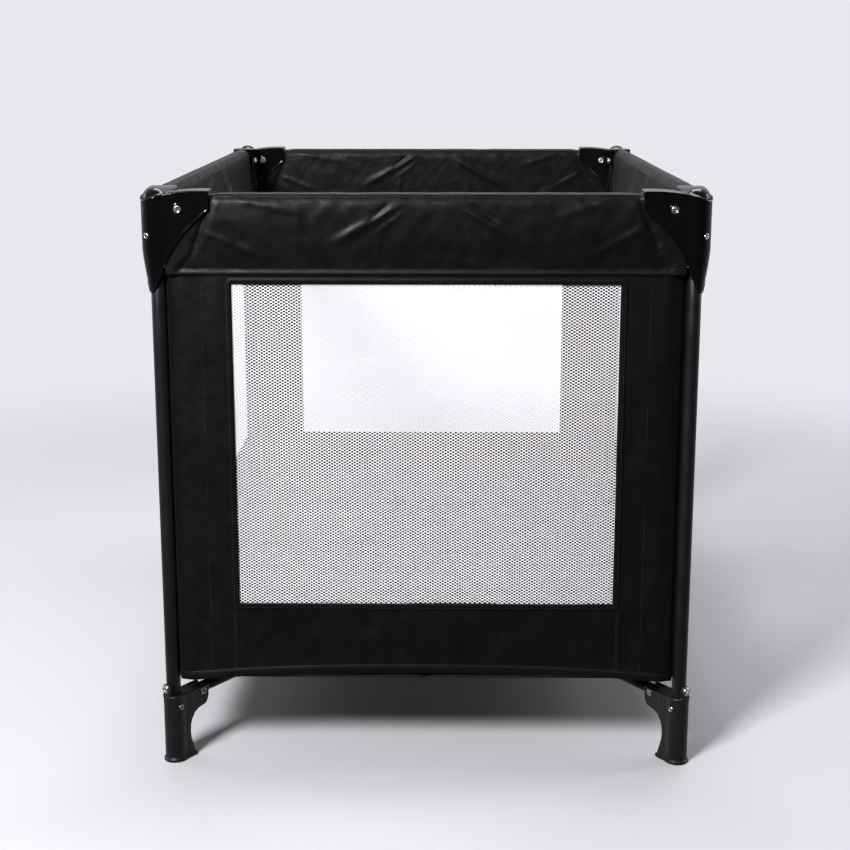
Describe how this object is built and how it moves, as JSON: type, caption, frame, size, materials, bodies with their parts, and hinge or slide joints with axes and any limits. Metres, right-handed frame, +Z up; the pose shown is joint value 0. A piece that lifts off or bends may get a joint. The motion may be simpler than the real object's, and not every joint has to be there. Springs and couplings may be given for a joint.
{
  "type": "folding playpen",
  "caption": "Folding travel cot and playpen with mesh-window fabric walls on a hinged tube frame that collapses into an upright bundle, with a lift-out folding mattress.",
  "frame": {"origin": "on the ground at the middle of the footprint", "axes": "+Z up, X across the cot, Y along it, front end at -Y"},
  "size_m": [0.7464, 1.0454, 0.803],
  "materials": {
    "powder_coat": "black powder coat",
    "gloss_plastic": "high gloss black",
    "satin_plastic": "satin black",
    "zinc": "bright zinc plate",
    "nylon": "black woven nylon, slight sheen",
    "mesh": "white warp-knit mesh",
    "mattress_fabric": "black woven cover over foam and board",
    "webbing": "black woven webbing"
  },
  "bodies": {
    "leg_front_left": {"leg_front_left": "powder_coat", "corner_cap_front_left": "gloss_plastic", "foot_front_left": "satin_plastic", "end_rail_rivet_front_left": "zinc", "side_rail_rivet_front_left": "zinc", "base_rivet_front_left": "zinc", "wall_front": "mesh", "rail_cover_front": "nylon", "wall_left": "mesh", "rail_cover_left": "nylon", "floor_panel": "nylon"},
    "leg_front_right": {"leg_front_right": "powder_coat", "corner_cap_front_right": "gloss_plastic", "foot_front_right": "satin_plastic", "end_rail_rivet_front_right": "zinc", "side_rail_rivet_front_right": "zinc", "base_rivet_front_right": "zinc", "wall_right": "mesh", "rail_cover_right": "nylon"},
    "leg_back_left": {"leg_back_left": "powder_coat", "corner_cap_back_left": "gloss_plastic", "foot_back_left": "satin_plastic", "end_rail_rivet_back_left": "zinc", "side_rail_rivet_back_left": "zinc", "base_rivet_back_left": "zinc", "wall_back": "mesh", "rail_cover_back": "nylon"},
    "leg_back_right": {"leg_back_right": "powder_coat", "corner_cap_back_right": "gloss_plastic", "foot_back_right": "satin_plastic", "end_rail_rivet_back_right": "zinc", "side_rail_rivet_back_right": "zinc", "base_rivet_back_right": "zinc"},
    "base_tube_front_left": {"base_tube_front_left": "powder_coat"},
    "base_tube_front_right": {"base_tube_front_right": "powder_coat"},
    "base_tube_back_left": {"base_tube_back_left": "powder_coat"},
    "base_tube_back_right": {"base_tube_back_right": "powder_coat"},
    "base_hub": {"base_hub": "satin_plastic", "hub_cap": "satin_plastic", "pull_strap": "webbing"},
    "end_rail_front_left": {"end_rail_front_left": "powder_coat"},
    "rail_lock_front": {"rail_lock_front": "satin_plastic"},
    "end_rail_front_right": {"end_rail_front_right": "powder_coat"},
    "lock_button_front": {"lock_button_front": "satin_plastic"},
    "end_rail_back_left": {"end_rail_back_left": "powder_coat"},
    "rail_lock_back": {"rail_lock_back": "satin_plastic"},
    "end_rail_back_right": {"end_rail_back_right": "powder_coat"},
    "lock_button_back": {"lock_button_back": "satin_plastic"},
    "side_rail_left_front": {"side_rail_left_front": "powder_coat"},
    "rail_lock_left": {"rail_lock_left": "satin_plastic"},
    "side_rail_left_back": {"side_rail_left_back": "powder_coat"},
    "lock_button_left": {"lock_button_left": "satin_plastic"},
    "side_rail_right_front": {"side_rail_right_front": "powder_coat"},
    "rail_lock_right": {"rail_lock_right": "satin_plastic"},
    "side_rail_right_back": {"side_rail_right_back": "powder_coat"},
    "lock_button_right": {"lock_button_right": "satin_plastic"},
    "mattress_1": {"mattress_segment_1": "mattress_fabric"},
    "mattress_2": {"mattress_segment_2": "mattress_fabric"},
    "mattress_3": {"mattress_segment_3": "mattress_fabric"},
    "mattress_4": {"mattress_segment_4": "mattress_fabric"}
  },
  "joints": [
    {"name": "fold", "type": "hinge", "parent": "leg_front_left", "child": "base_tube_front_left", "pos_m": [-0.32754, -0.46587, 0.09], "axis": [0.818, -0.5752, 0], "range_deg": [0, 84], "deforming": ["wall_front", "wall_back", "wall_left", "wall_right", "rail_cover_front", "rail_cover_back", "rail_cover_left", "rail_cover_right", "floor_panel", "mattress_segment_1", "mattress_segment_2", "mattress_segment_3", "mattress_segment_4"]},
    {"name": "hub_level", "type": "hinge", "parent": "base_tube_front_left", "child": "base_hub", "pos_m": [-0.02853, -0.04058, 0.09], "axis": [-0.818, 0.5752, 0], "range_deg": [0, 84]},
    {"name": "base_fold_front_right", "type": "hinge", "parent": "base_hub", "child": "base_tube_front_right", "pos_m": [0.02853, -0.04058, 0.09], "axis": [0.818, 0.5752, 0], "range_deg": [0, 84]},
    {"name": "leg_upright_front_right", "type": "hinge", "parent": "base_tube_front_right", "child": "leg_front_right", "pos_m": [0.32754, -0.46587, 0.09], "axis": [-0.818, -0.5752, 0], "range_deg": [0, 84]},
    {"name": "base_fold_back_left", "type": "hinge", "parent": "base_hub", "child": "base_tube_back_left", "pos_m": [-0.02853, 0.04058, 0.09], "axis": [-0.818, -0.5752, 0], "range_deg": [0, 84]},
    {"name": "leg_upright_back_left", "type": "hinge", "parent": "base_tube_back_left", "child": "leg_back_left", "pos_m": [-0.32754, 0.46587, 0.09], "axis": [0.818, 0.5752, 0], "range_deg": [0, 84]},
    {"name": "base_fold_back_right", "type": "hinge", "parent": "base_hub", "child": "base_tube_back_right", "pos_m": [0.02853, 0.04058, 0.09], "axis": [-0.818, 0.5752, 0], "range_deg": [0, 84]},
    {"name": "leg_upright_back_right", "type": "hinge", "parent": "base_tube_back_right", "child": "leg_back_right", "pos_m": [0.32754, 0.46587, 0.09], "axis": [0.818, -0.5752, 0], "range_deg": [0, 84]},
    {"name": "end_rail_front_left_fold", "type": "hinge", "parent": "leg_front_left", "child": "end_rail_front_left", "pos_m": [-0.323, -0.5035, 0.7765], "axis": [0, 1, 0], "range_deg": [0, 84]},
    {"name": "rail_lock_front_level", "type": "hinge", "parent": "end_rail_front_left", "child": "rail_lock_front", "pos_m": [-0.02398, -0.5035, 0.7765], "axis": [0, -1, 0], "range_deg": [0, 84]},
    {"name": "end_rail_front_right_fold", "type": "hinge", "parent": "rail_lock_front", "child": "end_rail_front_right", "pos_m": [0.02398, -0.5035, 0.7765], "axis": [0, -1, 0], "range_deg": [0, 84]},
    {"name": "lock_button_front_press", "type": "slide", "parent": "rail_lock_front", "child": "lock_button_front", "axis": [0, 0, 1], "range_m": [0, 0.005], "stiffness_N_per_m": 400, "springref_m": -0.002},
    {"name": "end_rail_back_left_fold", "type": "hinge", "parent": "leg_back_left", "child": "end_rail_back_left", "pos_m": [-0.323, 0.5035, 0.7765], "axis": [0, 1, 0], "range_deg": [0, 84]},
    {"name": "rail_lock_back_level", "type": "hinge", "parent": "end_rail_back_left", "child": "rail_lock_back", "pos_m": [-0.02398, 0.5035, 0.7765], "axis": [0, -1, 0], "range_deg": [0, 84]},
    {"name": "end_rail_back_right_fold", "type": "hinge", "parent": "rail_lock_back", "child": "end_rail_back_right", "pos_m": [0.02398, 0.5035, 0.7765], "axis": [0, -1, 0], "range_deg": [0, 84]},
    {"name": "lock_button_back_press", "type": "slide", "parent": "rail_lock_back", "child": "lock_button_back", "axis": [0, 0, 1], "range_m": [0, 0.005], "stiffness_N_per_m": 400, "springref_m": -0.002},
    {"name": "side_rail_left_front_fold", "type": "hinge", "parent": "leg_front_left", "child": "side_rail_left_front", "pos_m": [-0.354, -0.4725, 0.7765], "axis": [-1, 0, 0], "range_deg": [0, 84]},
    {"name": "rail_lock_left_level", "type": "hinge", "parent": "side_rail_left_front", "child": "rail_lock_left", "pos_m": [-0.354, -0.04721, 0.7765], "axis": [1, 0, 0], "range_deg": [0, 84]},
    {"name": "side_rail_left_back_fold", "type": "hinge", "parent": "rail_lock_left", "child": "side_rail_left_back", "pos_m": [-0.354, 0.04721, 0.7765], "axis": [1, 0, 0], "range_deg": [0, 84]},
    {"name": "lock_button_left_press", "type": "slide", "parent": "rail_lock_left", "child": "lock_button_left", "axis": [0, 0, 1], "range_m": [0, 0.005], "stiffness_N_per_m": 400, "springref_m": -0.002},
    {"name": "side_rail_right_front_fold", "type": "hinge", "parent": "leg_front_right", "child": "side_rail_right_front", "pos_m": [0.354, -0.4725, 0.7765], "axis": [-1, 0, 0], "range_deg": [0, 84]},
    {"name": "rail_lock_right_level", "type": "hinge", "parent": "side_rail_right_front", "child": "rail_lock_right", "pos_m": [0.354, -0.04721, 0.7765], "axis": [1, 0, 0], "range_deg": [0, 84]},
    {"name": "side_rail_right_back_fold", "type": "hinge", "parent": "rail_lock_right", "child": "side_rail_right_back", "pos_m": [0.354, 0.04721, 0.7765], "axis": [1, 0, 0], "range_deg": [0, 84]},
    {"name": "lock_button_right_press", "type": "slide", "parent": "rail_lock_right", "child": "lock_button_right", "axis": [0, 0, 1], "range_m": [0, 0.005], "stiffness_N_per_m": 400, "springref_m": -0.002},
    {"name": "mattress_lift", "type": "slide", "parent": "base_hub", "child": "mattress_2", "axis": [0, 0, 1], "range_m": [0, 0.7]},
    {"name": "mattress_fold_1", "type": "hinge", "parent": "mattress_2", "child": "mattress_1", "pos_m": [0, -0.25125, 0.162], "axis": [-1, 0, 0], "range_deg": [0, 90]},
    {"name": "mattress_fold_3", "type": "hinge", "parent": "mattress_2", "child": "mattress_3", "pos_m": [0, 0, 0.162], "axis": [1, 0, 0], "range_deg": [0, 90]},
    {"name": "mattress_fold_4", "type": "hinge", "parent": "mattress_3", "child": "mattress_4", "pos_m": [0, 0.25125, 0.162], "axis": [1, 0, 0], "range_deg": [0, 90]}
  ],
  "couplings": [
    {"joint": "hub_level", "follows": "fold", "ratio": 1},
    {"joint": "base_fold_front_right", "follows": "fold", "ratio": 1},
    {"joint": "leg_upright_front_right", "follows": "fold", "ratio": 1},
    {"joint": "base_fold_back_left", "follows": "fold", "ratio": 1},
    {"joint": "leg_upright_back_left", "follows": "fold", "ratio": 1},
    {"joint": "base_fold_back_right", "follows": "fold", "ratio": 1},
    {"joint": "leg_upright_back_right", "follows": "fold", "ratio": 1},
    {"joint": "end_rail_front_left_fold", "follows": "fold", "ratio": 1},
    {"joint": "rail_lock_front_level", "follows": "fold", "ratio": 1},
    {"joint": "end_rail_front_right_fold", "follows": "fold", "ratio": 1},
    {"joint": "end_rail_back_left_fold", "follows": "fold", "ratio": 1},
    {"joint": "rail_lock_back_level", "follows": "fold", "ratio": 1},
    {"joint": "end_rail_back_right_fold", "follows": "fold", "ratio": 1},
    {"joint": "side_rail_left_front_fold", "follows": "fold", "ratio": 1},
    {"joint": "rail_lock_left_level", "follows": "fold", "ratio": 1},
    {"joint": "side_rail_left_back_fold", "follows": "fold", "ratio": 1},
    {"joint": "side_rail_right_front_fold", "follows": "fold", "ratio": 1},
    {"joint": "rail_lock_right_level", "follows": "fold", "ratio": 1},
    {"joint": "side_rail_right_back_fold", "follows": "fold", "ratio": 1}
  ]
}
